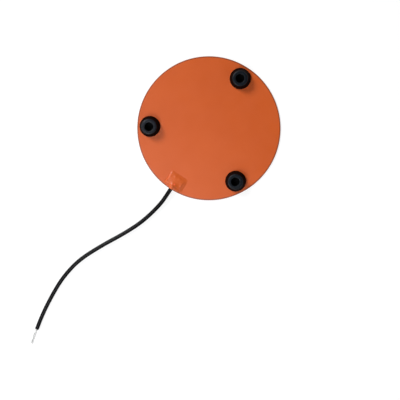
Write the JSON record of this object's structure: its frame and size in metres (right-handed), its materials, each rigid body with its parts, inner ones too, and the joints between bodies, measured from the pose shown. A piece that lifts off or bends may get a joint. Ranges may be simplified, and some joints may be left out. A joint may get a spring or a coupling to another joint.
{
  "type": "silicone heater pad",
  "caption": "Round flexible silicone heating pad with black rubber feet, a silicone cap over the lead entry and a round two-core cable with a stripped end.",
  "frame": {"origin": "centre of the pad's flat back face", "axes": "+Z out of the pad's upper face, the way the feet stand; the lead leaves towards -Y; +X to the right seen from above"},
  "size_m": [0.15, 0.376, 0.0108],
  "materials": {
    "silicone_sheet": "matt orange silicone rubber with a faint cloth weave",
    "silicone_cap": "smooth orange silicone rubber",
    "silicone_adhesive": "cured silicone adhesive",
    "foot_rubber": "satin black moulded rubber",
    "jacket_rubber": "satin black cable jacket",
    "core_insulation": "white core insulation",
    "tinned_wire": "tinned copper strands",
    "solder": "solder",
    "resistance_foil": "etched resistance foil"
  },
  "bodies": {
    "root": {"base_sheet": "silicone_sheet", "cover_sheet": "silicone_sheet", "heating_element": "resistance_foil", "termination_cap": "silicone_cap", "cable_jacket": "jacket_rubber", "left_core": "core_insulation", "right_core": "core_insulation", "left_conductor": "tinned_wire", "right_conductor": "tinned_wire", "left_solder_joint": "solder", "right_solder_joint": "solder", "rear_foot": "foot_rubber", "left_foot": "foot_rubber", "right_foot": "foot_rubber", "rear_foot_adhesive": "silicone_adhesive", "left_foot_adhesive": "silicone_adhesive", "right_foot_adhesive": "silicone_adhesive"}
  },
  "joints": []
}
